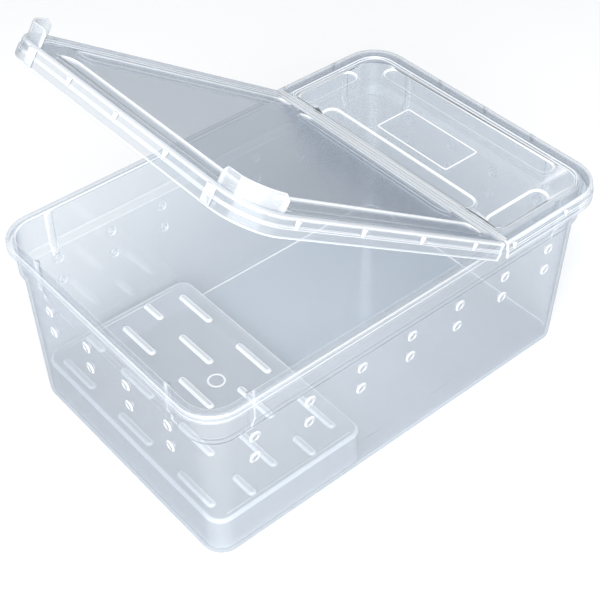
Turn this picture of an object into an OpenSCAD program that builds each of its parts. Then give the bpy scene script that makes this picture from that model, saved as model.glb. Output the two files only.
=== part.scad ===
// Pet keeper box: a tapered tub with a sloped ledge, a collar and a turned-down rim lip, a
// lift-out floor platform with grip ribs, and a cap lid in one moulding whose long flap turns
// on a living hinge. The origin is at the bottom centre of the tub, X runs along the length
// with the fixed half of the lid at +X, and +Z is up.

/* [Tub] */
// Length of the tub over its rim lip
tub_len = 317; // [280:1:420]
// Width of the tub over its rim lip
tub_wid = 210; // [190:1:300]
// Height of the tub to the top of its rim
tub_h = 132; // [126:1:180]
// Thickness of the tub's walls
wall = 2; // [1.4:0.1:2.4]
// Thickness of the tub's floor
floor_t = 2.2; // [1.6:0.1:3]
// Corner radius of the tub at its base
base_r = 14; // [12:0.5:20]
// Radius of the rounded edge round the bottom
foot_r = 3; // [2:0.25:4]
// How far the walls lean out between the base and the ledge
wall_flare = 3; // [1:0.25:5]

/* [Collar and rim] */
// Height of the collar above the sloped ledge
collar_h = 25; // [20:1:30]
// How far the collar stands out past the wall below it
ledge_out = 2.5; // [1.5:0.25:3.5]
// Height of the sloped ledge
ledge_h = 5; // [3:0.5:7]
// How far the rim lip stands out past the collar
lip_out = 4.3; // [3.5:0.1:6]
// Height of the turned-down rim lip
lip_h = 6; // [4.5:0.5:8]
// Thickness of the rim lip
lip_t = 1.6; // [1.2:0.1:2]
// Thickness of the flange that carries the lip
rim_t = 2; // [1.4:0.1:2.4]
// Radius of the rim's rounded outer edge
rim_r = 1.8; // [1:0.1:2.2]
// Diameter of the stacking pillars inside the collar
pillar_d = 4.4; // [3:0.2:5]
// Distance from a corner's centre to the pillar on the long wall beside it
pillar_long = 12.7; // [5:0.1:30]
// Distance from a corner's centre to the pillar on the short wall beside it
pillar_short = 16.7; // [5:0.1:30]

/* [Vent holes] */
// Bore of a vent hole
vent_d = 3.6; // [2:0.2:4.6]
// Outer diameter of the raised ring round a vent hole
vent_ring_d = 6.6; // [6:0.2:9]
// How far the ring stands out of the wall
vent_ring_h = 0.7; // [0.3:0.1:1.2]
// Spacing of the vent holes along the walls
vent_pitch = 40; // [30:1:60]
// Least distance from a vent hole to the start of the rounded corner
vent_margin = 6; // [5:0.5:12]
// Depth of the upper row of vent holes below the ledge
vent_below = 8.7; // [7:0.1:14]
// Drop from the upper row to the lower row
vent_drop = 17.6; // [12:0.2:24]

/* [Platform] */
// Height of the platform's top above the ground
deck_h = 28; // [18:1:45]
// Length of the platform
deck_len = 116; // [112:1:130]
// Thickness of the platform's deck and skirt
deck_t = 1.8; // [1.4:0.1:2.4]
// Gap between the foot of the platform and the tub's walls
deck_clear = 0.6; // [0.5:0.1:2]
// How much wider the platform is at its foot than at its top
deck_flare = 0.5; // [0.3:0.1:1.5]
// Radius of the platform's rounded top edge
deck_edge_r = 2.5; // [2:0.25:4]
// Radius of the platform's two free corners
deck_corner_r = 9; // [6:0.5:14]
// Width of a raised grip rib
rib_w = 4.2; // [3:0.2:6]
// Height of a raised grip rib
rib_h = 1.4; // [0.8:0.1:2.5]
// Length of a long grip rib
rib_len = 33; // [24:1:40]
// Length of a short grip rib
rib_short = 18; // [12:1:22]
// Spacing of the columns of ribs
rib_pitch = 23.4; // [18:0.2:24]
// Spacing of the long ribs along a column
rib_step = 62; // [50:1:64]
// Distance from the platform's end to the first column of ribs
rib_margin = 8.5; // [7:0.5:9]
// Distance from the platform's sides to the ends of the short ribs
rib_edge = 5.6; // [4:0.1:8]

/* [Lid] */
// Thickness of the lid
lid_t = 1.6; // [1.2:0.1:2]
// Gap between the lid and the rim that it sits on
lid_clear = 0.35; // [0.3:0.05:0.6]
// Depth of the lid's skirt below its top face
skirt_h = 12; // [10:0.5:16]
// Height of the wider band along the foot of the skirt
band_h = 5.4; // [3:0.2:6]
// How far that band stands out past the skirt
band_out = 0.8; // [0.4:0.1:1.2]
// Radius of the lid's rounded top edge
lid_edge_r = 2.5; // [2:0.25:4]
// Width of the raised land round the lid's panel
land_w = 8; // [6:0.5:9]
// Depth of the panel below the land
panel_drop = 1.2; // [0.6:0.1:1.6]
// Distance from the middle of the box to the hinge line
hinge_x = 66; // [40:1:75]
// Angle at which the flap stands open
open_angle = 33.5; // [0:0.5:150]
// Thickness of the living hinge's film
film_t = 0.6; // [0.4:0.05:0.8]
// Width of the part of the film that is bonded to the fixed half
film_w = 3; // [2:0.1:3.4]

/* [Lid details] */
// Width of the pockets that stiffen the lid
pocket_w = 13; // [9:0.5:14]
// Depth of the pockets below the panel
pocket_d = 1.1; // [0.6:0.1:1.2]
// Distance from the panel's edge to the middle of the pockets that run along it
pocket_inset = 8; // [8:0.25:11]
// Distance from the hinge line to the middle of the pockets beside it
pocket_hinge = 11; // [10.5:0.25:14]
// Gap between the end pockets and the side pockets
pocket_end_gap = 5.2; // [4:0.1:20]
// Gap between the pockets beside the hinge and the side pockets
pocket_mid_gap = 13.2; // [4:0.1:30]
// Distance from the hinge line to the side pockets
pocket_near = 6; // [5.5:0.5:12]
// Distance between the side pockets and the corner centres of the lid
pocket_far = 13.7; // [12:0.5:20]
// Width of a stiffening wedge on the skirt
wedge_w = 3.6; // [2:0.2:5]
// Spacing of the wedges along the sides of the fixed half
wedge_step = 46; // [38:1:52]
// Distance from the hinge line to the first wedge on the fixed half
wedge_first = 6.5; // [5:0.5:16]
// Spacing of the wedges along the sides of the flap
flap_wedge_step = 53; // [40:1:60]
// Distance from the hinge line to the first wedge on the flap
flap_wedge_first = 33; // [20:1:50]
// Spacing of the wedges along both ends
end_wedge_step = 42; // [36:1:52]
// Height of the two finger tabs on the flap's free corners
tab_h = 9.6; // [6:0.2:14]
// Thickness of the finger tabs
tab_t = 1.5; // [1.2:0.1:2.2]
// Distance from the lid's rounded edge in to the finger tabs
tab_inset = 0.5; // [0:0.1:2.8]
// Length of the straight part of a finger tab along the end of the flap
tab_face = 4; // [2:0.5:16]
// Length of the part of a finger tab that runs back along the side
tab_wing = 2; // [1:0.5:14]

/* [Hidden] */
$fn = 64;
eps = 0.01;
// Radii of the tub's outer faces, all measured from the same four corner centres
ledge_r = base_r + wall_flare;
collar_r = ledge_r + ledge_out;
lip_r = collar_r + lip_out;
corner_x = tub_len / 2 - lip_r;
corner_y = tub_wid / 2 - lip_r;
collar_z = tub_h - collar_h;
ledge_z = collar_z - ledge_h;
rim_inner_r = 0.8;
pillar_drop = 0.8;
inner_foot_r = 0.5;
floor_r = base_r - wall - inner_foot_r;
pillar_top = tub_h - rim_t - pillar_drop;
vent_z = ledge_z - vent_below;
// Platform
seat_gap = 0.3;
deck_foot_z = floor_t + seat_gap;
deck_foot_r = base_r - wall - deck_clear;
deck_top_r = deck_foot_r - deck_flare;
deck_x1 = deck_len - corner_x - deck_foot_r;
corner_foot_r = deck_corner_r + deck_flare;
free_x = deck_x1 - corner_foot_r;
free_y = corner_y + deck_foot_r - corner_foot_r;
rib_x0 = rib_margin - corner_x - deck_foot_r;
rib_side = corner_y + deck_foot_r - rib_edge - rib_short / 2;
// Moulding mark between the third and fourth columns of ribs
mark_x = rib_x0 + 2.7 * rib_pitch;
mark_r = 5.5;
mark_h = 0.3;
// Lid
lid_z = tub_h + seat_gap + lid_t;
skirt_r = lip_r + lid_clear + lid_t;
band_r = skirt_r + band_out;
skirt_z = lid_z - skirt_h;
band_z = skirt_z + band_h;
land_r = skirt_r - lid_edge_r - land_w;
panel_r = land_r - panel_drop;
panel_z = lid_z - panel_drop;
panel_x = corner_x + panel_r;
panel_y = corner_y + panel_r;
// Hinge: its axis lies in the plane of the lands, and both edges stand back from it
hinge_z = lid_z;
fixed_gap = 0.8;
flap_gap = 1.2;
hinge_land = 4.2;
hinge_half = corner_y + skirt_r - lid_edge_r;
flap_step = film_t;
flap_step_w = film_w + 0.6;
side_y = panel_y - pocket_inset;
end_x = panel_x - pocket_inset;
pocket_end = 2 * (side_y - pocket_w / 2 - pocket_end_gap);
pocket_mid = 2 * (side_y - pocket_w / 2 - pocket_mid_gap);
tab_r = skirt_r - lid_edge_r - tab_inset;
wedge_margin = 6;
// The wedges end on the flat of the skirt, this far below the rounded edge
wedge_drop = 0.5;
reach = 2 * tub_len;

// Points of an arc in a profile, from angle a0 to a1
function arc(cx, cz, r, a0, a1, n = 6) =
    [for (i = [0:n]) let (a = a0 + (a1 - a0) * i / n) [cx + r * cos(a), cz + r * sin(a)]];

// Outer radius of the tub's wall at height z, below the ledge
function wall_r(z) = base_r + wall_flare * (z - foot_r) / (ledge_z - foot_r);

// Cross-section of the tub, from the corner centre outwards
tub_profile = concat(
    [[0, 0]],
    arc(base_r - foot_r, foot_r, foot_r, -90, 0),
    [[ledge_r, ledge_z], [collar_r, collar_z], [collar_r, tub_h - rim_t],
     [lip_r - lip_t, tub_h - rim_t], [lip_r - lip_t, tub_h - lip_h], [lip_r, tub_h - lip_h]],
    arc(lip_r - rim_r, tub_h - rim_r, rim_r, 0, 90),
    arc(collar_r - wall + rim_inner_r, tub_h - rim_inner_r, rim_inner_r, 90, 180, 3),
    [[collar_r - wall, collar_z + wall / 2], [ledge_r - wall, ledge_z + wall / 2]],
    arc(floor_r, floor_t + inner_foot_r, inner_foot_r, 0, -90, 3),
    [[0, floor_t]]);

// Cross-section of the platform, from a corner centre outwards
function deck_profile(foot) = let (top = foot - deck_flare) concat(
    [[0, deck_h - deck_t], [top - deck_t, deck_h - deck_t],
     [foot - deck_t, deck_foot_z], [foot, deck_foot_z]],
    arc(top - deck_edge_r, deck_h - deck_edge_r, deck_edge_r, 0, 90),
    [[0, deck_h]]);

// Cross-section of the lid, from the corner centre over the panel and land and down the skirt
lid_profile = concat(
    [[0, panel_z], [0, panel_z - lid_t], [panel_r + lid_t, panel_z - lid_t],
     [land_r + lid_t, lid_z - lid_t]],
    arc(skirt_r - lid_edge_r, lid_z - lid_edge_r, lid_edge_r - lid_t, 90, 0),
    [[skirt_r - lid_t, band_z + band_out], [band_r - lid_t, band_z], [band_r - lid_t, skirt_z],
     [band_r, skirt_z], [band_r, band_z], [skirt_r, band_z + band_out]],
    arc(skirt_r - lid_edge_r, lid_z - lid_edge_r, lid_edge_r, 0, 90),
    [[land_r, lid_z], [panel_r, panel_z]]);

// A block between two X positions and two heights, centred on y = 0
module block(x0, x1, half_y, z0, z1) {
    translate([x0, -half_y, z0])
        cube([x1 - x0, 2 * half_y, z1 - z0]);
}

// One straight run of a profile, facing +X and centred on y = 0
module run(length) {
    rotate([90, 0, 0])
        linear_extrude(height = length, center = true)
            children();
}

// A quarter turn of a profile about Z, from +X round to +Y
module turn() {
    rotate_extrude(angle = 90)
        children();
}

// A profile swept right round a rectangle of corner centres
module sweep_round(cx, cy) {
    for (half = [0, 180]) {
        rotate([0, 0, half]) {
            translate([cx, 0, 0]) run(2 * cy) children();
            translate([0, cy, 0]) rotate([0, 0, 90]) run(2 * cx) children();
            translate([cx, cy, 0]) turn() children();
            translate([-cx, cy, 0]) rotate([0, 0, 90]) turn() children();
        }
    }
}

// A bar with round ends, lying along Y
module bar(length, width, height) {
    straight = length - width;
    translate([-width / 2, -straight / 2, 0]) cube([width, straight, height]);
    for (end = [-1, 1])
        translate([0, end * straight / 2, 0]) cylinder(h = height, d = width);
}

// Children at a place along a long or a short wall, with +X pointing out of that wall
module on_long_wall(side, x) {
    translate([x, side * corner_y, 0]) rotate([0, 0, 90 * side]) children();
}

module on_short_wall(side, y) {
    translate([side * corner_x, y, 0]) rotate([0, 0, 90 - 90 * side]) children();
}

// Children at every vent hole, with +Z pointing out of the wall
module each_vent() {
    long_side = floor((corner_x - vent_margin) / vent_pitch);
    short_side = floor((corner_y - vent_margin) / vent_pitch + 0.5);
    for (row = [0, 1], side = [-1, 1]) {
        z = vent_z - row * vent_drop;
        for (i = [-long_side:long_side])
            on_long_wall(side, i * vent_pitch)
                translate([wall_r(z), 0, z]) rotate([0, 90, 0]) children();
        for (i = [1 - short_side:short_side])
            on_short_wall(side, (i - 0.5) * vent_pitch)
                translate([wall_r(z), 0, z]) rotate([0, 90, 0]) children();
    }
}

// A stacking pillar inside the collar, ending in a rounded stud just under the ledge
module pillar() {
    foot_z = ledge_z + wall / 2;
    translate([collar_r - wall - pillar_d / 8, 0, foot_z])
        cylinder(h = pillar_top - foot_z, d = pillar_d);
    translate([ledge_r - wall, 0, ledge_z - pillar_d / 3])
        sphere(d = 0.85 * pillar_d);
}

module tub() {
    color([0.86, 0.9, 0.95, 0.45])
    difference() {
        union() {
            block(-corner_x, corner_x, corner_y, 0, floor_t);
            sweep_round(corner_x, corner_y) polygon(tub_profile);
            each_vent()
                translate([0, 0, -wall / 2]) cylinder(h = wall / 2 + vent_ring_h, d = vent_ring_d);
            for (side = [-1, 1], end = [-1, 1]) {
                on_long_wall(side, end * (corner_x - pillar_long)) pillar();
                on_short_wall(side, end * (corner_y - pillar_short)) pillar();
            }
        }
        each_vent()
            translate([0, 0, -2 * wall]) cylinder(h = 4 * wall, d = vent_d);
    }
}

// Raised grip ribs: columns of three long ribs between columns of two long and two short
module grip_ribs() {
    for (col = [0:4]) {
        translate([rib_x0 + col * rib_pitch, 0, deck_h - eps]) {
            if (col % 2 == 0) {
                for (row = [-1:1])
                    translate([0, row * rib_step, 0]) bar(rib_len, rib_w, rib_h);
            } else {
                for (side = [-1, 1]) {
                    translate([0, side * rib_step / 2, 0]) bar(rib_len, rib_w, rib_h);
                    translate([0, side * rib_side, 0]) bar(rib_short, rib_w, rib_h);
                }
            }
        }
    }
}

module platform() {
    color([0.78, 0.84, 0.9, 0.6])
    union() {
        block(-corner_x, free_x, free_y, deck_h - deck_t, deck_h);
        // end against the tub's short wall
        translate([-corner_x, 0, 0]) rotate([0, 0, 180])
            run(2 * corner_y) polygon(deck_profile(deck_foot_r));
        // free end across the middle of the tub
        translate([free_x, 0, 0])
            run(2 * free_y) polygon(deck_profile(corner_foot_r));
        for (side = [-1, 1]) {
            translate([(free_x - corner_x) / 2, side * corner_y, 0]) rotate([0, 0, 90 * side])
                run(free_x + corner_x) polygon(deck_profile(deck_foot_r));
            translate([-corner_x, side * corner_y, 0]) rotate([0, 0, side > 0 ? 90 : 180])
                turn() polygon(deck_profile(deck_foot_r));
            translate([free_x, side * free_y, 0]) rotate([0, 0, side > 0 ? 0 : -90])
                turn() polygon(deck_profile(corner_foot_r));
        }
        grip_ribs();
        translate([mark_x, 0, deck_h - eps]) cylinder(h = mark_h, r = mark_r);
    }
}

// Long pockets: each is [x, y, length, turn], and lies along Y before it is turned
fixed_side = corner_x - pocket_far - hinge_x - pocket_near;
flap_side = corner_x - pocket_far + hinge_x - pocket_near;
fixed_pockets = concat(
    [[end_x, 0, pocket_end, 0], [hinge_x + pocket_hinge, 0, pocket_mid, 0]],
    [for (side = [-1, 1]) [hinge_x + pocket_near + fixed_side / 2, side * side_y, fixed_side, 90]]);
flap_pockets = concat(
    [[-end_x, 0, pocket_end, 0], [hinge_x - pocket_hinge, 0, pocket_mid, 0]],
    [for (side = [-1, 1]) [hinge_x - pocket_near - flap_side / 2, side * side_y, flap_side, 90]]);

module each_pocket(pockets, grow, z0, z1) {
    for (p = pockets)
        translate([p[0], p[1], z0]) rotate([0, 0, p[3]])
            bar(p[2] + 2 * grow, pocket_w + 2 * grow, z1 - z0);
}

// A stiffening wedge on the skirt, wide under the rounded edge and narrow at the band
module wedge() {
    top_z = lid_z - lid_edge_r - wedge_drop;
    translate([skirt_r - lid_t / 2, 0, 0]) rotate([90, 0, 90])
        linear_extrude(height = lid_t / 2 + band_out)
            polygon([[-wedge_w / 8, band_z], [wedge_w / 8, band_z],
                     [wedge_w / 2, top_z], [-wedge_w / 2, top_z]]);
}

module end_wedges(side) {
    count = floor((corner_y - wedge_margin) / end_wedge_step);
    for (i = [-count:count]) on_short_wall(side, i * end_wedge_step) wedge();
}

// The whole lid between two X positions, with its panel sunk and its pockets formed
module lid_part(x0, x1, pockets) {
    difference() {
        union() {
            intersection() {
                union() {
                    block(-corner_x, corner_x, corner_y, panel_z - lid_t, panel_z);
                    sweep_round(corner_x, corner_y) polygon(lid_profile);
                }
                block(x0, x1, reach, skirt_z - 1, lid_z + 1);
            }
            each_pocket(pockets, lid_t, panel_z - pocket_d - lid_t, panel_z - lid_t / 2);
        }
        each_pocket(pockets, 0, panel_z - pocket_d, lid_z + 1);
    }
}

module lid_fixed_half() {
    edge = hinge_x + fixed_gap;
    color([0.8, 0.86, 0.93, 0.45])
    difference() {
        union() {
            lid_part(edge, reach, fixed_pockets);
            block(edge, hinge_x + hinge_land, corner_y + land_r + eps, panel_z - lid_t, lid_z);
            end_wedges(1);
            for (side = [-1, 1], x = [hinge_x + wedge_first:wedge_step:corner_x - wedge_margin])
                on_long_wall(side, x) wedge();
        }
        // shallow seat for the hinge film
        block(edge - 1, hinge_x + film_w, reach, lid_z - film_t / 2, lid_z + 1);
    }
}

module living_hinge() {
    color([0.95, 0.97, 1, 0.6])
    union() {
        block(hinge_x, hinge_x + film_w, hinge_half, hinge_z - film_t / 2, hinge_z + film_t / 2);
        translate([hinge_x, hinge_half, hinge_z]) rotate([90, 0, 0])
            cylinder(h = 2 * hinge_half, d = film_t);
    }
}

// A finger tab standing on the flap's corner: straight along the end, then round the corner
module finger_tab(side) {
    foot = lid_t / 2;
    height = tab_h + foot;
    translate([-corner_x, side * corner_y, lid_z - foot]) mirror([0, side > 0 ? 1 : 0, 0]) {
        translate([-tab_r, 0, 0]) cube([tab_t, tab_face, height]);
        rotate([0, 0, 180]) rotate_extrude(angle = 90)
            translate([tab_r - tab_t, 0]) square([tab_t, height]);
        translate([0, -tab_r, 0]) cube([tab_wing, tab_t, height]);
    }
}

module flap_closed() {
    edge = hinge_x - flap_gap;
    difference() {
        union() {
            lid_part(-reach, edge, flap_pockets);
            block(hinge_x - hinge_land, edge, corner_y + land_r + eps, panel_z - lid_t, lid_z);
            end_wedges(-1);
            for (side = [-1, 1],
                 x = [hinge_x - flap_wedge_first:-flap_wedge_step:wedge_margin - corner_x])
                on_long_wall(side, x) wedge();
            for (side = [-1, 1]) finger_tab(side);
        }
        // step beside the hinge line, so the flap clears the film when it is folded back
        block(hinge_x - flap_step_w, edge + 1, reach, lid_z - flap_step, lid_z + 1);
    }
}

module lid_flap() {
    color([0.7, 0.76, 0.84, 0.5])
    translate([hinge_x, 0, hinge_z]) rotate([0, open_angle, 0]) translate([-hinge_x, 0, -hinge_z])
        flap_closed();
}

tub();
platform();
lid_fixed_half();
living_hinge();
lid_flap();
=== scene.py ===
import bpy
import bmesh
from math import radians, sin, cos, tan, asin, pi, sqrt, hypot, atan2
from mathutils import Vector, Matrix
from mathutils.geometry import tessellate_polygon


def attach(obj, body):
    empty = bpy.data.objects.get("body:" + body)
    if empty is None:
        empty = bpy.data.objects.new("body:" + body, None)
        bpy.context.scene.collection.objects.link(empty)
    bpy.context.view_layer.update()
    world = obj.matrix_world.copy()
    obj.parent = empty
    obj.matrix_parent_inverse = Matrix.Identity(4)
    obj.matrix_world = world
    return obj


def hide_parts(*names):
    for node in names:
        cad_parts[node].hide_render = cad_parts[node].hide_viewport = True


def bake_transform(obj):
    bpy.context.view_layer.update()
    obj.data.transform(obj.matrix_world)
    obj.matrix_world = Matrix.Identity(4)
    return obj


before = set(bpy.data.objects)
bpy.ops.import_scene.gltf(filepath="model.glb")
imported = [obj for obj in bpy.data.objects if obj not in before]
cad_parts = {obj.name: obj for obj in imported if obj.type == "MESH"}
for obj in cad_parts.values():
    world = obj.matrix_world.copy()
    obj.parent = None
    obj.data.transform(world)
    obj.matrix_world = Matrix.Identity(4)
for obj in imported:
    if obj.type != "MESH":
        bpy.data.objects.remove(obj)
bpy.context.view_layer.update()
scene = bpy.context.scene
mm = 0.001  # every size below is in millimetres, unless its note says otherwise

rounding = {
    "supportGap": 0.9,  # flat kept beside every rounded edge, so that the flats stay flat
    "longFlat": 2.6,    # a flat of this many gaps gets a support at both ends
    "edgeShare": 0.48,  # most of an edge that one rounded corner may take
    "columnGap": 0.05,  # columns closer than this to a corner are left out
    "weldGap": 1e-4,    # points closer than this are one
}
wallFacing = ((1, 0), (0, 1), (-1, 0), (0, -1))  # which way walls 0 to 3 look


def roundSection(points, steps=4):
    # points are (offset, height, radius); gives the section with its corners rounded
    n = len(points)
    corners = []
    for i, (x, y, r) in enumerate(points):
        here = Vector((x, y))
        if i in (0, n - 1) or r <= 0:
            corners.append([here])
            continue
        before = Vector(points[i - 1][:2]) - here
        after = Vector(points[i + 1][:2]) - here
        turn = before.angle(after)
        share = rounding["edgeShare"]
        reach = min(r / tan(turn / 2), share * before.length, share * after.length)
        radius = reach * tan(turn / 2)
        before.normalize()
        after.normalize()
        centre = here + (before + after).normalized() * (radius / sin(turn / 2))
        start = here + before * reach - centre
        finish = here + after * reach - centre
        sweep = start.angle_signed(finish)
        arc = []
        for k in range(steps + 1):
            a = -sweep * k / steps
            across = start.x * cos(a) - start.y * sin(a)
            rise = start.x * sin(a) + start.y * cos(a)
            arc.append(centre + Vector((across, rise)))
        corners.append(arc)
    out = list(corners[0])
    support = rounding["supportGap"]
    for k in range(1, n):
        first, last = out[-1], corners[k][0]
        gap = (last - first).length
        if gap > rounding["longFlat"] * support:
            out.append(first.lerp(last, support / gap))
            out.append(last.lerp(first, support / gap))
        elif gap > support:
            out.append(first.lerp(last, 0.5))
        out += corners[k]
    return [(p.x, p.y) for p in out]


def pathAround(corners, columns=None, steps=8):
    # stations run anticlockwise round four corners (x, y, radius); each one is its base point, its
    # outward direction, its wall (None on a corner) and its place along that wall
    columns = columns or [[], [], [], []]
    clear = rounding["columnGap"]
    stations = []
    for wall in range(4):
        cx0, cy0, r0 = corners[wall - 1]
        cx1, cy1, r1 = corners[wall]
        nx, ny = wallFacing[wall]
        tx, ty = -ny, nx
        start = Vector((cx0 + nx * r0, cy0 + ny * r0))
        finish = Vector((cx1 + nx * r1, cy1 + ny * r1))
        s0, s1 = start.x * tx + start.y * ty, finish.x * tx + finish.y * ty
        inner = sorted(c for c in columns[wall] if s0 + clear < c < s1 - clear)
        for s in [s0] + inner + [s1]:
            at = start + Vector((tx, ty)) * (s - s0)
            stations.append((at.x, at.y, nx, ny, wall, s))
        for k in range(1, steps):
            a = pi / 2 * (wall + k / steps)
            stations.append((cx1 + r1 * cos(a), cy1 + r1 * sin(a), cos(a), sin(a), None, 0))
    return stations


def stadium(x, y, length, width, along, steps=10):
    # a long outline with round ends, anticlockwise
    half = (length - width) / 2
    r = width / 2
    out = []
    for end in (0, 1):
        for k in range(steps + 1):
            a = -pi / 2 + pi * k / steps + pi * end
            px, py = (half if end == 0 else -half) + r * cos(a), r * sin(a)
            out.append((x + px, y + py) if along == "x" else (x - py, y + px))
    return out


def roundRect(x0, x1, y0, y1, r, steps=6):
    # a rectangle with rounded corners, anticlockwise
    out = []
    centres = ((x1 - r, y1 - r), (x0 + r, y1 - r), (x0 + r, y0 + r), (x1 - r, y0 + r))
    for k, (cx, cy) in enumerate(centres):
        for s in range(steps + 1):
            a = pi / 2 * (k + s / steps)
            out.append((cx + r * cos(a), cy + r * sin(a)))
    return out


edgeMeasure = {
    "leastAngle": 3,      # degrees: a flatter join counts as no bend
    "leastDepth": 0.01,   # slivers shallower than this are left out
    "leastAcross": 0.05,  # a bend is never taken as tighter than this across
    "span": 0.4,          # radians per mm from the first milk of an edge to the whitest
}


class Shell:
    # collects the vertices and faces of one moulding
    def __init__(self):
        self.verts, self.faces = [], []

    def loop(self, points):
        # adds points and returns their numbers
        start = len(self.verts)
        self.verts += points
        return list(range(start, len(self.verts)))

    def bridge(self, a, b):
        # quads between two closed loops of one length
        n = len(a)
        for i in range(n):
            j = (i + 1) % n
            self.faces.append((a[i], a[j], b[j], b[i]))

    def skin(self, loops):
        # bridges each loop to the next
        for first, last in zip(loops, loops[1:]):
            self.bridge(first, last)

    def capEnds(self, loops):
        # closes a skin with a face on its first and last loop
        self.faces += [tuple(loops[0]), tuple(loops[-1])]

    def fill(self, outline, holes=()):
        # fills a level region between an outline and its holes
        lists = [outline] + list(holes)
        flat = [[Vector((*self.verts[i][:2], 0)) for i in part] for part in lists]
        order = [i for part in lists for i in part]
        self.faces += [tuple(order[t] for t in tri) for tri in tessellate_polygon(flat)]

    def stitch(self, outer, inner, centre, along):
        # triangles between two loops that go round one centre on a wall, by the shorter diagonal
        place = {i: Vector(self.verts[i]) for i in outer + inner}

        def turn(i):
            return atan2(place[i][2] - centre[2], place[i][along] - centre[along])

        a, b = sorted(outer, key=turn), sorted(inner, key=turn)
        first = min(range(len(b)), key=lambda k: (place[b[k]] - place[a[0]]).length)
        a, b = a + a[:1], b[first:] + b[:first] + b[first:first + 1]
        i = j = 0
        while i < len(a) - 1 or j < len(b) - 1:
            moreA, moreB = i < len(a) - 1, j < len(b) - 1
            if moreA and moreB:
                stepA = (place[a[i + 1]] - place[b[j]]).length
                stepB = (place[a[i]] - place[b[j + 1]]).length
                moreA = stepA <= stepB
            if moreA:
                self.faces.append((a[i], a[i + 1], b[j]))
                i += 1
            else:
                self.faces.append((a[i], b[j + 1], b[j]))
                j += 1

    def build(self, name, material, move=None, thick=None, start=0.2):
        # start is the bend, in radians per mm, from which an edge begins to go milky, a painted
        # highlight;
        # thick gives the least milk at a point
        mesh = bpy.data.meshes.new(name)
        mesh.from_pydata([(x * mm, y * mm, z * mm) for x, y, z in self.verts], [], self.faces)
        bm = bmesh.new()
        bm.from_mesh(mesh)
        bmesh.ops.remove_doubles(bm, verts=bm.verts, dist=rounding["weldGap"] * mm)
        bmesh.ops.recalc_face_normals(bm, faces=bm.faces)
        openEdges = sum(1 for edge in bm.edges if len(edge.link_faces) != 2)
        print(name, len(bm.verts), "vertices", openEdges, "open edges")
        # how tightly the surface bends at a point: 0 on flats and wide corners, 1 on rounded edges;
        # the milk of the painted edge highlight follows it
        e = edgeMeasure
        layer = bm.verts.layers.float.new("roundness")
        for v in bm.verts:
            bend = 0
            for edge in v.link_edges:
                angle = edge.calc_face_angle(0)
                depths = [f.calc_area() / edge.calc_length() / mm for f in edge.link_faces]
                if angle > radians(e["leastAngle"]) and min(depths) > e["leastDepth"]:
                    bend = max(bend, angle / max(sum(depths) / 2, e["leastAcross"]))
            # thick also carries the painted highlight on the lid's pads
            least = thick(*(v.co / mm)) if thick else 0  # thick places are milky even where flat
            v[layer] = min(1, max(least, (bend - start) / e["span"]))
        if move is not None:
            bm.transform(move)
        bm.to_mesh(mesh)
        bm.free()
        for poly in mesh.polygons:
            poly.use_smooth = True
        mesh.materials.append(material)
        obj = bpy.data.objects.new(name, mesh)
        scene.collection.objects.link(obj)
        weigh = obj.modifiers.new("weighted", "WEIGHTED_NORMAL")
        weigh.weight = 100
        weigh.keep_sharp = False
        return obj


def linearColour(hexText):
    # sRGB hex to linear values
    parts = [int(hexText[i:i + 2], 16) / 255 for i in (1, 3, 5)]
    return (*(c / 12.92 if c <= 0.04045 else ((c + 0.055) / 1.055) ** 2.4 for c in parts), 1)


def addNode(tree, kind, settings=None, links=None):
    node = tree.nodes.new(kind)
    for name, value in (settings or {}).items():
        if isinstance(name, int) or name in node.inputs:
            node.inputs[name].default_value = value
        else:
            setattr(node, name, value)
    for name, source in (links or {}).items():
        tree.links.new(source, node.inputs[name])
    return node


def newMaterial(name):
    material = bpy.data.materials.new(name)
    material.use_nodes = True
    material.node_tree.nodes.clear()
    return material, material.node_tree


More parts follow.
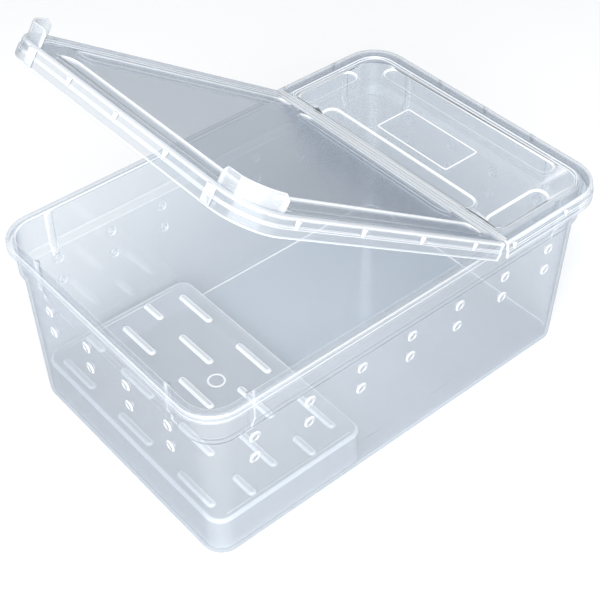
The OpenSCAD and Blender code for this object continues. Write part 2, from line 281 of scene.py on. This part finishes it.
def clearPolypropylene(name, finish):
    # injection-moulded clear polypropylene: flats let the eye through with a grey-blue cast that
    # deepens where the eye skims them, and rounded edges are whitened with extra milk, a painted
    # highlight for the light they would catch; a look through a wall crosses both of its surfaces,
    # so each carries half of the cast
    material, tree = newMaterial(name)
    bend = addNode(tree, "ShaderNodeAttribute", {"attribute_name": "roundness"})
    skim = addNode(tree, "ShaderNodeLayerWeight", {"Blend": 0.5})
    deep = addNode(tree, "ShaderNodeMath", {"operation": "POWER", 1: finish["skimPower"]},
                   {0: skim.outputs["Facing"]})
    # sockets 6 and 7 are a colour mix's two colours, and output 2 is its result
    tint = addNode(tree, "ShaderNodeMix", {
        "data_type": "RGBA",
        6: linearColour(finish["tint"]),
        7: linearColour(finish["skimTint"]),
    }, {0: deep.outputs[0]})
    through = addNode(tree, "ShaderNodeBsdfTransparent", links={"Color": tint.outputs[2]})
    # the milk colour goes from the flat milk to the edge milk on rounded edges: a painted highlight
    cast = addNode(tree, "ShaderNodeMix", {
        "data_type": "RGBA",
        6: linearColour(finish["flatMilk"]),
        7: linearColour(finish["edgeHighlightMilk"]),
    }, {0: bend.outputs["Fac"]})
    milk = addNode(tree, "ShaderNodeBsdfPrincipled", {
        "Roughness": finish["roughness"],
        "IOR": 1.49,  # polypropylene
    }, {"Base Color": cast.outputs[2]})
    # painted highlight: rounded edges get far more milk than the flats
    haze = addNode(tree, "ShaderNodeMapRange", {
        "To Min": finish["flatHaze"],
        "To Max": finish["edgeHighlightHaze"],
    }, {"Value": bend.outputs["Fac"]})
    body = addNode(tree, "ShaderNodeMixShader",
                   links={0: haze.outputs[0], 1: through.outputs[0], 2: milk.outputs[0]})
    # the same sheen on both faces of a wall, rising steeply as the eye skims it
    sheenPower = 5.0
    rise = addNode(tree, "ShaderNodeMath", {"operation": "POWER", 1: sheenPower},
                   {0: skim.outputs["Facing"]})
    sheen = addNode(tree, "ShaderNodeMapRange", {
        "To Min": finish["faceGloss"],
        "To Max": finish["skimGloss"],
    }, {"Value": rise.outputs[0]})
    gloss = addNode(tree, "ShaderNodeBsdfGlossy", {
        "Roughness": finish["gloss"],
        "Color": linearColour("#FFFFFF"),
    })
    surface = addNode(tree, "ShaderNodeMixShader",
                      links={0: sheen.outputs[0], 1: body.outputs[0], 2: gloss.outputs[0]})
    addNode(tree, "ShaderNodeOutputMaterial", links={"Surface": surface.outputs[0]})
    return material


tub = {
    "length": 317, "width": 210, "height": 132, "wall": 2, "floor": 2.2,
    "baseR": 14, "ledgeR": 17, "collarR": 19.5, "lipR": 23.8,
    "ledgeZ": 102, "collarZ": 107, "lipDepth": 6, "lipThick": 1.6, "rimThick": 2,
    "taperZ": 3, "middle": 0.5,  # where the taper starts, and where the section ends on the floor
    "baseRound": 3.2, "floorRound": 1.0, "ledgeRound": 0.6, "lipRound": 0.5, "lipTopRound": 1.8,
    "mouthRound": 0.8,
    "ventPitch": 40, "ventRows": (93.3, 75.7), "cell": 5.2, "ventSteps": 20,
    # vent: (radius, rise above the wall), outside over the raised ring, then inside from the hole
    "ventOut": ((4.1, 0), (3.6, 0), (3.35, 0.1), (3.25, 0.5), (3.12, 0.67), (2.98, 0.7), (2.8, 0.7),
                (2.15, 0.7), (2.0, 0.7), (1.88, 0.64), (1.8, 0.5), (1.8, 0.3), (1.8, 0)),
    "ventIn": ((1.8, 0.25), (1.8, 0.1), (1.9, 0), (2.1, 0), (4.1, 0)),
    # stacking pillars inside the collar: from under the rim to the ledge, with a stud at the foot
    "pillarLong": 122, "pillarShort": 64.5, "pillarHalf": 2.3, "pillarDeep": 2.5,
    "pillarTop": 1.5, "pillarFoot": 4,
    "studDeep": 1.5, "studDrop": 2.8, "studRise": 1.8, "studFullness": 0.6,
    "pillarSteps": (0, 0.8, 1.5, 2.0, 2.22, 3.2),  # closer towards its edge, where it curves most
    "finish": {
        # the edge haze and edge milk whiten rounded edges: a painted highlight
        "flatHaze": 0.07, "edgeHighlightHaze": 0.7,
        "flatMilk": "#F8FBFF", "edgeHighlightMilk": "#FDFEFF",
        "tint": "#F8FAFC", "skimTint": "#AEB9C7", "skimPower": 3.0,
        "faceGloss": 0.1, "skimGloss": 0.45,
        "roughness": 0.35, "gloss": 0.12,
    },
}
tubPlastic = clearPolypropylene("tubPolypropylene", tub["finish"])
cornerX = tub["length"] / 2 - tub["lipR"]
cornerY = tub["width"] / 2 - tub["lipR"]
roundCorners = [(cornerX, cornerY, 0), (-cornerX, cornerY, 0), (-cornerX, -cornerY, 0),
                (cornerX, -cornerY, 0)]


def tubWallR(z):
    # how far the tapered wall stands out from the corner centres at a height
    t = tub
    return t["baseR"] + (t["ledgeR"] - t["baseR"]) * (z - t["taperZ"]) / (t["ledgeZ"] - t["taperZ"])


def ventPlaces(wall):
    # seven columns of vents along a long wall, four along a short one
    pitch = tub["ventPitch"]
    if wall in (1, 3):
        return [i * pitch for i in range(-3, 4)]
    return [(i - 0.5) * pitch for i in range(-1, 3)]


def pillarRadius(wall, s, r, z):
    # the inside radius where a stacking pillar and its stud stand out of the collar
    t = tub
    if wall is None or not t["ledgeZ"] - t["pillarFoot"] <= z <= t["height"] - t["pillarTop"]:
        return r
    off = abs(abs(s) - (t["pillarLong"] if wall in (1, 3) else t["pillarShort"]))
    if off >= t["pillarHalf"]:
        return r
    curve = sqrt(1 - (off / t["pillarHalf"]) ** 2)
    r = min(r, t["collarR"] - t["wall"] - t["pillarDeep"] * curve)
    low, high = t["ledgeZ"] - t["ledgeRound"] - t["studDrop"], t["ledgeZ"] + t["studRise"]
    if low < z < high:
        r -= t["studDeep"] * curve * sin(pi * (z - low) / (high - low)) ** t["studFullness"]
    return r


def makeTub():
    t = tub
    w, h = t["wall"], t["height"]
    shell = Shell()
    cuts = sorted(z + s * t["cell"] for z in t["ventRows"] for s in (-1, 1))
    ledge, lip = t["ledgeRound"], t["lipRound"]
    lipIn = t["lipR"] - t["lipThick"]
    outside = [(t["middle"], 0, 0), (t["baseR"], 0, t["baseRound"])]
    outside += [(tubWallR(z), z, 0) for z in cuts]
    outside += [
        (t["ledgeR"], t["ledgeZ"], ledge),
        (t["collarR"], t["collarZ"], ledge),
        (t["collarR"], h - t["rimThick"], ledge),
        (lipIn, h - t["rimThick"], lip),
        (lipIn, h - t["lipDepth"], lip),
        (t["lipR"], h - t["lipDepth"], lip),
        (t["lipR"], h, t["lipTopRound"]),
    ]
    inside = [
        (t["collarR"] - w, h, t["mouthRound"]),
        (t["collarR"] - w, t["collarZ"] + w / 2, ledge),
        (t["ledgeR"] - w, t["ledgeZ"] + w / 2, ledge),
    ]
    studRows = [t["ledgeZ"] - ledge - t["studDrop"] * k / 4 for k in range(5)]
    inside += [(tubWallR(z) - w, z, 0) for z in studRows + cuts[::-1]]
    inside += [(t["baseR"] - w, t["floor"], t["floorRound"]), (t["middle"], t["floor"], 0)]
    section = roundSection(outside + inside, 5)
    # the highest point parts the outside of the section from the inside
    top = max(range(len(section)), key=lambda k: section[k][1] - 1e-3 * k)
    columns = []
    for wall in range(4):
        pillar = t["pillarLong"] if wall in (1, 3) else t["pillarShort"]
        cols = [v + s * t["cell"] for v in ventPlaces(wall) for s in (-1, 1)]
        for step in t["pillarSteps"]:
            cols += [a * pillar + b * step for a in (-1, 1) for b in (-1, 1)]
        columns.append(sorted(set(round(c, 4) for c in cols)))
    stations = pathAround(roundCorners, columns, 10)
    grid = []
    for k, (r, z) in enumerate(section):
        points = []
        for x, y, nx, ny, wall, s in stations:
            here = pillarRadius(wall, s, r, z) if k > top else r
            points.append((x + nx * here, y + ny * here, z))
        grid.append(shell.loop(points))

    near = 1e-3

    def rowAt(height, inner):
        return next(k for k, (r, z) in enumerate(section)
                    if abs(z - height) < near and (k > top) == inner)

    def columnAt(side, place):
        return next(k for k, (x, y, nx, ny, wall, s) in enumerate(stations)
                    if wall == side and abs(s - place) < near)

    skip = set()  # the cells of the walls that a vent fills instead
    for wall in range(4):
        nx, ny = wallFacing[wall]
        base = cornerX if wall in (0, 2) else cornerY
        for place in ventPlaces(wall):
            a, b = columnAt(wall, place - t["cell"]), columnAt(wall, place + t["cell"])
            for z in t["ventRows"]:
                loops = []
                for inner, steps in ((False, t["ventOut"]), (True, t["ventIn"])):
                    rows = sorted(rowAt(z + s * t["cell"], inner) for s in (-1, 1))
                    skip.update((k, c) for k in range(*rows) for c in range(a, b))
                    between = range(rows[0] + 1, rows[1])
                    outline = [grid[k][c] for k in rows for c in range(a, b + 1)]
                    outline += [grid[k][c] for k in between for c in (a, b)]
                    rings = []
                    for radius, rise in steps:
                        ring = []
                        for k in range(t["ventSteps"]):
                            ang = 2 * pi * k / t["ventSteps"]
                            du, dz = radius * cos(ang), radius * sin(ang)
                            out = base + tubWallR(z + dz) + rise - (w if inner else 0)
                            u = place + du
                            ring.append((nx * out - ny * u, ny * out + nx * u, z + dz))
                        rings.append(shell.loop(ring))
                    centre = (nx * base - ny * place, ny * base + nx * place, z)
                    shell.stitch(outline, rings[-1] if inner else rings[0], centre, 1 if nx else 0)
                    loops += rings
                shell.skin(loops)
    count = len(stations)
    for k in range(len(grid) - 1):
        for c in range(count):
            if (k, c) not in skip:
                d = (c + 1) % count
                corners = (grid[k][c], grid[k][d], grid[k + 1][d], grid[k + 1][c])
                shell.faces.append(corners)
    shell.fill(grid[0])
    shell.fill(grid[-1])
    return shell.build("tubShell", tubPlastic, start=0.45)


platform = {
    "height": 28, "length": 116, "thick": 1.8, "foot": 2.5, "clear": 0.6, "flare": 0.5, "edge": 2.5,
    "freeR": 9.5, "inset": 5, "footRound": 0.5, "underRound": 1.2,
    "ribWidth": 4.2, "ribRise": 1.4, "ribLong": 33, "ribShort": 18, "ribPitch": 23.4, "ribStep": 62,
    "ribMargin": 8.5, "ribEdge": 5.6, "ribMilk": 0.45,
    # rib: (offset from its outline, share of its rise, rounding)
    "ribSection": ((0.9, 0, 0), (0, 0, 0.3), (-0.2, 1, 0.7), (-1.3, 1, 0)),
    # ring moulded on the top: its place in rib pitches, then (offset, share of its rise)
    "markPlace": 2.7, "markR": 5.5, "markRise": 0.3, "markSteps": 40,
    "markSection": ((0.9, 0), (0.25, 0), (0.1, 1), (-0.25, 1), (-0.4, 0), (-1.1, 0)),
    "finish": {
        # the edge haze and edge milk whiten rounded edges: a painted highlight
        "flatHaze": 0.32, "edgeHighlightHaze": 0.9,
        "flatMilk": "#F8FBFF", "edgeHighlightMilk": "#FDFEFF",
        "tint": "#FBFDFF", "skimTint": "#606E7C", "skimPower": 4.0,
        "faceGloss": 0.03, "skimGloss": 0.55,
        "roughness": 0.35, "gloss": 0.1,
    },
}
platformPlastic = clearPolypropylene("platformPolypropylene", platform["finish"])


def sweepLoops(shell, stations, section):
    # one loop for each point of a section, carried round the stations
    return [shell.loop([(x + nx * r, y + ny * r, z) for x, y, nx, ny, wall, s in stations])
            for r, z in section]


def raised(shell, outline, section):
    # a skin of loops on a closed outline, each moved out by its offset; returns them in order
    n = len(outline)
    loops = []
    for offset, z in section:
        ring = []
        for k in range(n):
            a, b, c = outline[k - 1], outline[k], outline[(k + 1) % n]
            tx, ty = c[0] - a[0], c[1] - a[1]
            size = hypot(tx, ty)
            ring.append((b[0] + ty / size * offset, b[1] - tx / size * offset, z))
        loops.append(shell.loop(ring))
    shell.skin(loops)
    return loops


def ribPlaces():
    # three long ribs across in the even columns; two long between two short in the odd ones
    p = platform
    footR = tub["baseR"] - tub["wall"] - p["clear"]
    first = p["ribMargin"] - cornerX - footR
    side = cornerY + footR - p["ribEdge"] - p["ribShort"] / 2
    for col in range(5):
        x = first + col * p["ribPitch"]
        if col % 2 == 0:
            for row in (-1, 0, 1):
                yield x, row * p["ribStep"], p["ribLong"]
        else:
            for hand in (-1, 1):
                yield x, hand * p["ribStep"] / 2, p["ribLong"]
                yield x, hand * side, p["ribShort"]


def makePlatform():
    p = platform
    footR = tub["baseR"] - tub["wall"] - p["clear"]
    freeX = p["length"] - cornerX - footR - p["freeR"]
    freeY = cornerY + footR - p["freeR"]
    corners = [(freeX, freeY, p["freeR"]), (-cornerX, cornerY, footR),
               (-cornerX, -cornerY, footR), (freeX, -freeY, p["freeR"])]
    stations = pathAround(corners, None, 10)
    h, t, flare = p["height"], p["thick"], p["flare"]
    section = roundSection([
        (-p["inset"], h, 0),
        (-flare, h, p["edge"]),
        (0, p["foot"], p["footRound"]),
        (-t, p["foot"], p["footRound"]),
        (-t - flare, h - t, p["underRound"]),
        (-p["inset"], h - t, 0),
    ], 6)
    shell = Shell()
    grid = sweepLoops(shell, stations, section)
    shell.skin(grid)
    holes = []
    rise = [(out, h + share * p["ribRise"], r) for out, share, r in p["ribSection"]]
    rise = roundSection(rise, 4)
    for x, y, length in ribPlaces():
        loops = raised(shell, stadium(x, y, length, p["ribWidth"], "y"), rise)
        holes.append(loops[0])
        shell.fill(loops[-1])
    markX = p["ribMargin"] - cornerX - footR + p["markPlace"] * p["ribPitch"]
    turns = [2 * pi * k / p["markSteps"] for k in range(p["markSteps"])]
    mark = [(markX + p["markR"] * cos(a), p["markR"] * sin(a)) for a in turns]
    rise = [(out, h + share * p["markRise"]) for out, share in p["markSection"]]
    loops = raised(shell, mark, rise)
    holes.append(loops[0])
    shell.fill(loops[-1])
    shell.fill(grid[0], holes)
    shell.fill(grid[-1])

    def thick(x, y, z):
        return p["ribMilk"] if z > h + p["ribRise"] / 2 else 0

    return shell.build("platformTray", platformPlastic, thick=thick, start=0.1)


lid = {
    "thick": 1.6, "seat": 0.3, "clear": 0.35, "skirt": 12, "edge": 2.5, "land": 8, "drop": 1.2,
    "band": 5.4, "bandOut": 0.8, "bandRound": 0.5, "footRound": 0.6,  # band round the skirt's foot
    "hingeX": 66, "angle": 33.5, "fixedGap": 0.8, "flapGap": 1.2, "hingeLand": 4.2, "hingeRound": 5,
    "panelRound": 0.8, "panelFlat": 1.2,  # slope down to the sunk panel
    "pocketW": 13, "pocketD": 1.1, "pocketInset": 8, "pocketHinge": 11,
    "endGap": 5.2, "midGap": 13.2, "pocketNear": 6, "pocketFar": 13.7,
    "pocketRound": 0.5, "pocketDraft": 0.1, "pocketFlat": 1.3, "pocketGaps": (0.9, 0.4),
    "blockSink": 0.8,  # how deep wedges and pads reach into the skirt
    "wedgeW": 3.6, "wedgeFoot": 0.5, "wedgeSoft": 0.25, "wedgeTop": 0.5, "endWedgeStep": 42,
    "wedgeFirst": 6.5, "wedgeStep": 46, "flapWedgeFirst": 33, "flapWedgeStep": 53,
    # the pad milk whitens the pads on the skirt: a painted highlight
    "padW": 6.5, "padFoot": 0.7, "padTop": 0.6, "padSoft": 0.35, "padHighlightMilk": 0.8,
    "tabH": 9.6, "tabT": 1.5, "tabR": 22.75, "tabFace": 4, "tabBend": 8.6, "tabMilk": 0.25,
    "tabSink": 0.8, "tabCornerR": 3.0,
    "runEnd": 1.5, "bendLength": 1, "bendGap": 0.28, "bendPull": 0.05,  # the tab's bend
    "tabCrown": ((1, 0.5), (0.7, 0.12), (0.3, 0)),  # share of the half thickness, drop from the top
    "frameX": (90.5, 119), "frameY": 31.5, "frameRound": 1.5, "frameLine": 0.9, "lineRise": 0.3,
    "finish": {
        # the edge haze and edge milk whiten rounded edges: a painted highlight
        "flatHaze": 0.07, "edgeHighlightHaze": 0.75,
        "flatMilk": "#F8FBFF", "edgeHighlightMilk": "#FDFEFF",
        "tint": "#F5F7F9", "skimTint": "#9CA8B7", "skimPower": 3.5,
        "faceGloss": 0.06, "skimGloss": 0.5,
        "roughness": 0.35, "gloss": 0.2,
    },
}
lidPlastic = clearPolypropylene("lidPolypropylene", lid["finish"])
lidZ = tub["height"] + lid["seat"] + lid["thick"]
skirtR = tub["lipR"] + lid["clear"] + lid["thick"]
bandR = skirtR + lid["bandOut"]
skirtZ = lidZ - lid["skirt"]
bandZ = skirtZ + lid["band"]
landR = skirtR - lid["edge"] - lid["land"]
panelR = landR - lid["drop"]
panelZ = lidZ - lid["drop"]
hinge = Vector((lid["hingeX"], 0, lidZ)) * mm


def pocketOutlines(hand):
    # hand is 1 for the fixed half and -1 for the flap
    k = lid
    sideY = cornerY + panelR - k["pocketInset"]
    endX = cornerX + panelR - k["pocketInset"]
    inner = sideY - k["pocketW"] / 2
    near = k["hingeX"] + hand * k["pocketNear"]
    far = hand * (cornerX - k["pocketFar"])
    midX = k["hingeX"] + hand * k["pocketHinge"]
    long, wide = abs(far - near), k["pocketW"]
    out = [stadium(hand * endX, 0, 2 * (inner - k["endGap"]), wide, "y", 8),
           stadium(midX, 0, 2 * (inner - k["midGap"]), wide, "y", 8)]
    out += [stadium((near + far) / 2, side * sideY, long, wide, "x", 8) for side in (-1, 1)]
    return out


def ridge(shell, outline, width, rise, z):
    # a fine raised line round a closed outline: fills inside it and returns the loop outside it
    half = width / 2
    flat, draft = 0.5, 0.15
    loops = raised(shell, outline, ((half + flat, z), (half, z), (half - draft, z + rise),
                                    (draft - half, z + rise), (-half, z), (-half - flat, z)))
    shell.fill(loops[-1])
    return loops[0]


def skirtBlock(shell, x, y, nx, ny, outline, soft):
    # a block from inside the skirt out to the face of the band, its front edges softened
    tx, ty = -ny, nx
    loops = []
    for out, shrink in ((skirtR - lid["blockSink"], 0), (bandR - soft, 0), (bandR, soft)):
        loops.append(shell.loop([(x + nx * out + tx * u, y + ny * out + ty * u, z)
                                 for u, z in outline(shrink)]))
    shell.skin(loops)
    shell.capEnds(loops)


def padAt(shell, x, y, nx, ny):
    # the thick pad on the skirt under the start of a finger tab
    k = lid
    low, high, half = skirtZ + k["padFoot"], lidZ - k["edge"] * k["padTop"], k["padW"] / 2

    def outline(s):
        return (s - half, low + s), (half - s, low + s), (half - s, high - s), (s - half, high - s)

    skirtBlock(shell, x, y, nx, ny, outline, k["padSoft"])


def wedgeAt(shell, x, y, nx, ny):
    # a small stiffening wedge on the skirt, wide at the top
    k = lid
    foot, head, top = k["wedgeFoot"], k["wedgeW"] / 2, lidZ - k["edge"] + k["wedgeTop"]

    def outline(s):
        return (s / 2 - foot, bandZ), (foot - s / 2, bandZ), (head - s, top), (s - head, top)

    skirtBlock(shell, x, y, nx, ny, outline, k["wedgeSoft"])


def tabAt(shell, side):
    # an upright finger tab: straight along the end of the flap, a short bend, then round its corner
    k = lid
    half = k["tabT"] / 2
    r = k["tabR"] - half
    cx, cy = -cornerX, side * cornerY
    # the arc after the bend is wider than the corner's own, and ends at the side of the corner
    wide = (r * r + (r - k["tabBend"]) ** 2) / 2 / (r - k["tabBend"])
    sweep = asin(r / wide)
    straight = k["tabFace"] + k["tabBend"]
    run = [(straight - k["runEnd"]) * i / 5 for i in range(6)] + [straight - k["bendLength"]]
    path = [(cx - r, cy + side * (u - k["tabFace"]), -1, 0) for u in run]
    for i in range(1, 4):
        a = (pi / 2 - sweep) * i / 4
        pull = k["bendPull"] * (i / 4) ** 2
        ahead = k["tabBend"] - k["bendLength"] + k["bendGap"] * i
        path.append((cx - r + pull, cy + side * ahead, -cos(a), side * sin(a)))
    steps = 8
    for i in (0.12, *range(1, steps + 1)):  # the first station keeps clear of the bend
        a = sweep * (1 - i / steps)
        path.append((cx - wide * sin(a), cy + side * (r - wide + wide * cos(a)),
                     -sin(a), side * cos(a)))
    length = [0]
    for a, b in zip(path, path[1:]):
        length.append(length[-1] + hypot(b[0] - a[0], b[1] - a[1]))
    base = lidZ - k["tabSink"]
    cornerR, crown = k["tabCornerR"], k["tabCrown"]
    loops = []
    for (x, y, nx, ny), along in zip(path, length):
        # both upper corners are rounded
        near = min(along, length[-1] - along)
        sink = cornerR - sqrt(max(0, cornerR ** 2 - (cornerR - near) ** 2)) if near < cornerR else 0
        high = lidZ + k["tabH"] - sink
        ring = [(-half, base), (half, base)]
        ring += [(half * share, high - drop) for share, drop in crown]
        ring += [(-half * share, high - drop) for share, drop in reversed(crown)]
        loops.append(shell.loop([(x + nx * out, y + ny * out, z) for out, z in ring]))
    shell.skin(loops)
    shell.capEnds(loops)


def cutShell(shell, x, hand):
    # keeps the part of a shell on one side of the hinge line and closes the cut
    mesh = bpy.data.meshes.new("cut")
    mesh.from_pydata(shell.verts, [], shell.faces)
    bm = bmesh.new()
    bm.from_mesh(mesh)
    bmesh.ops.remove_doubles(bm, verts=bm.verts, dist=rounding["weldGap"])
    # the first plane only adds a row of points beside the cut
    for at, clear in ((x + hand * rounding["supportGap"], False), (x, True)):
        bmesh.ops.bisect_plane(bm, geom=bm.verts[:] + bm.edges[:] + bm.faces[:], dist=1e-5,
                               plane_co=(at, 0, 0), plane_no=(-hand, 0, 0), clear_outer=clear)
    rim = [edge for edge in bm.edges if len(edge.link_faces) == 1]
    bmesh.ops.triangle_fill(bm, use_beauty=True, use_dissolve=False, edges=rim, normal=(1, 0, 0))
    bm.verts.ensure_lookup_table()
    bm.verts.index_update()
    shell.verts = [tuple(v.co) for v in bm.verts]
    shell.faces = [tuple(v.index for v in f.verts) for f in bm.faces]
    bm.free()
    bpy.data.meshes.remove(mesh)


def makeLidHalf(name, hand, turn):
    k = lid
    t = k["thick"]
    shell = Shell()
    flat = landR + k["land"] / 2
    band, foot, step = k["bandRound"], k["footRound"], bandZ + k["bandOut"]
    section = roundSection([
        (flat, lidZ, 0),
        (skirtR, lidZ, k["edge"]),
        (skirtR, step, band),
        (bandR, bandZ, band),
        (bandR, skirtZ, foot),
        (bandR - t, skirtZ, foot),
        (bandR - t, bandZ, band),
        (skirtR - t, step, band),
        (skirtR - t, lidZ - t, k["edge"] - t),
        (flat, lidZ - t, 0),
    ], 6)
    grid = sweepLoops(shell, pathAround(roundCorners, None, 10), section)
    shell.skin(grid)
    # sunk panel of this half, with rounded corners beside the hinge
    r = k["hingeRound"]
    near = k["hingeX"] + hand * (k["hingeLand"] + r)
    wide = cornerY + landR - r
    hinged = [(near, wide, r), (near, -wide, r)]
    outer = [(hand * cornerX, cornerY, landR), (hand * cornerX, -cornerY, landR)]
    right, left = (outer, hinged) if hand > 0 else (hinged, outer)
    panelPath = pathAround([right[0], left[0], left[1], right[1]], None, 8)
    panels = []
    for down in (0, t):  # the top, then the underside
        top, low = lidZ - down, panelZ - down
        rows = roundSection([
            (down + rounding["supportGap"], top, 0),
            (down, top, k["panelRound"]),
            (down - k["drop"], low, k["panelRound"]),
            (down - k["drop"] - k["panelFlat"], low, 0),
        ], 4)
        loops = sweepLoops(shell, panelPath, rows)
        shell.skin(loops)
        panels.append(loops)
    shell.fill(grid[0], [panels[0][0]])
    shell.fill(grid[-1], [panels[1][0]])
    for down, gap, loops in zip((0, t), k["pocketGaps"], panels):
        low = panelZ - down
        rows = roundSection([
            (down + gap, low, 0),
            (down, low, k["pocketRound"]),
            (down - k["pocketDraft"], low - k["pocketD"], k["pocketRound"]),
            (down - k["pocketFlat"], low - k["pocketD"], 0),
        ], 3)
        holes = []
        for outline in pocketOutlines(hand):
            pocket = raised(shell, outline, rows)
            holes.append(pocket[0])
            shell.fill(pocket[-1])
        if hand > 0 and down == 0:
            # a plain raised frame line on the top of the fixed half
            (x0, x1), y1 = k["frameX"], k["frameY"]
            line = roundRect(x0, x1, -y1, y1, k["frameRound"], 3)
            holes.append(ridge(shell, line, k["frameLine"], k["lineRise"], panelZ))
        shell.fill(loops[-1], holes)
    gap = k["fixedGap"] if hand > 0 else k["flapGap"]
    cutShell(shell, k["hingeX"] + hand * gap, hand)
    for i in (-1, 0, 1):
        wedgeAt(shell, hand * cornerX, i * k["endWedgeStep"], hand, 0)
    if hand > 0:
        places = [k["hingeX"] + k["wedgeFirst"] + i * k["wedgeStep"] for i in range(2)]
    else:
        places = [k["hingeX"] - k["flapWedgeFirst"] - k["flapWedgeStep"] * i for i in range(4)]
    for x in places:
        for side in (-1, 1):
            wedgeAt(shell, x, side * cornerY, 0, side)
    if hand < 0:
        for side in (-1, 1):
            tabAt(shell, side)
            padAt(shell, -cornerX, side * (cornerY - k["padW"] / 2), -1, 0)

    # the pads' milk is a painted highlight
    def thick(x, y, z):
        if z > lidZ + 0.5:  # only the finger tabs stand above the lid
            return k["tabMilk"]
        across = cornerY - k["padW"] - 0.1 < abs(y) < cornerY - 0.01
        outer = x < 0.4 - cornerX - bandR and z < lidZ - k["edge"] * 0.5
        onPad = hand < 0 and across and outer
        return k["padHighlightMilk"] if onPad else 0

    return shell.build(name, lidPlastic, turn, thick)


openTurn = (Matrix.Translation(hinge) @ Matrix.Rotation(radians(lid["angle"]), 4, "Y")
            @ Matrix.Translation(-hinge))

livingHinge = {
    "endGap": 0.6, "bendWidth": 1.2, "rows": 24,
    # half of its section: (place across, half thickness), from the fixed half to the flap
    "section": ((3, 0), (2.75, 0.3), (0.5, 0.3), (0, 0.21), (-0.7, 0.21), (-1.3, 0.21),
                (-2.6, 0.18), (-3.0, 0)),
}


def makeFilm():
    # the living hinge: a thin film from its seat on the fixed half across to the flap
    f = livingHinge
    shell = Shell()
    reach = cornerY + skirtR - lid["edge"] - f["endGap"]
    profile = [*f["section"], *((x, -z) for x, z in f["section"][-2:0:-1])]
    loops = []
    for i in range(f["rows"] + 1):
        y = reach * (1 - 2 * i / f["rows"])
        ring = []
        for x, z in profile:
            if x < 0:  # the film bends with the open flap
                a = radians(lid["angle"]) * min(1, -x / f["bendWidth"])
                x, z = x * cos(a) + z * sin(a), -x * sin(a) + z * cos(a)
            ring.append((lid["hingeX"] + x, y, lidZ + z))
        loops.append(shell.loop(ring))
    shell.skin(loops)
    shell.capEnds(loops)
    return shell.build("hingeFilm", lidPlastic)


print("pieces")
tubShell = makeTub()
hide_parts("tub")
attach(tubShell, "tub")
tray = makePlatform()
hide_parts("platform")
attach(tray, "platform")
fixedHalf = makeLidHalf("lidFixedHalf", 1, None)
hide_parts("lid_fixed_half")
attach(fixedHalf, "lid")
flap = makeLidHalf("lidFlap", -1, openTurn)
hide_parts("lid_flap")
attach(flap, "flap")
film = makeFilm()
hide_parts("living_hinge")
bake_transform(film)

print("camera")
cameraSetup = {
    "azimuth": -130.375, "elevation": 43.064, "roll": -0.276,  # degrees
    "distance": 0.839, "target": (0.0, 0.0, 0.064), "pan": (-0.003, -0.008),  # metres
    "lens": 77.67,
}


def makeCamera():
    c = cameraSetup
    az, el = radians(c["azimuth"]), radians(c["elevation"])
    away = Vector((cos(el) * cos(az), cos(el) * sin(az), sin(el)))
    right = (-away).cross(Vector((0, 0, 1))).normalized()
    up = right.cross(-away)
    data = bpy.data.cameras.new("camera")
    data.lens = c["lens"]
    data.sensor_width = 36
    data.clip_start = 0.01
    obj = bpy.data.objects.new("camera", data)
    scene.collection.objects.link(obj)
    place = Vector(c["target"]) + away * c["distance"] + right * c["pan"][0] + up * c["pan"][1]
    turn = Matrix.Rotation(radians(c["roll"]), 3, away)
    axes = Matrix((right, up, away)).transposed()
    obj.matrix_world = Matrix.Translation(place) @ (turn @ axes).to_4x4()
    scene.camera = obj


makeCamera()

print("stage and light")
stage = {  # metres and watts
    "floorHalf": 4.0, "floorDrop": 0.0002, "floorColour": "#F9F9F9",
    "skyColour": (0.96, 0.98, 1.0, 1), "skyStrength": 0.55,  # a light's colour, so it is linear
    # softbox: (name, place, aim, width and height, power)
    "softboxes": (
        ("keyBox", (-0.93, -1.11, 1.66), (0, 0, 0), (1.8, 1.8), 50),
        ("lowBox", (-1.13, -1.07, 0.33), (0, 0, 0.06), (1.8, 1.2), 15),
    ),
}


def makeFloor():
    mesh = bpy.data.meshes.new("floor")
    r = stage["floorHalf"]
    mesh.from_pydata([(-r, -r, 0), (r, -r, 0), (r, r, 0), (-r, r, 0)], [], [(0, 1, 2, 3)])
    floor = bpy.data.objects.new("floor", mesh)
    scene.collection.objects.link(floor)
    floor.location.z = -stage["floorDrop"]
    # a matt white table top: spreads the light evenly and shows no reflection
    material, tree = newMaterial("whiteTable")
    shade = addNode(tree, "ShaderNodeBsdfDiffuse", {"Color": linearColour(stage["floorColour"])})
    addNode(tree, "ShaderNodeOutputMaterial", links={"Surface": shade.outputs[0]})
    mesh.materials.append(material)


def softbox(name, place, aim, size, power):
    data = bpy.data.lights.new(name, "AREA")
    data.shape = "RECTANGLE"
    data.size, data.size_y = size
    data.energy = power
    lamp = bpy.data.objects.new(name, data)
    scene.collection.objects.link(lamp)
    lamp.location = place
    lamp.rotation_euler = (Vector(aim) - Vector(place)).to_track_quat("-Z", "Y").to_euler()


makeFloor()
for box in stage["softboxes"]:
    softbox(*box)
world = bpy.data.worlds.new("studio")
scene.world = world
world.use_nodes = True
sky = world.node_tree.nodes["Background"].inputs
sky["Color"].default_value = stage["skyColour"]
sky["Strength"].default_value = stage["skyStrength"]
scene.view_settings.view_transform = "Standard"
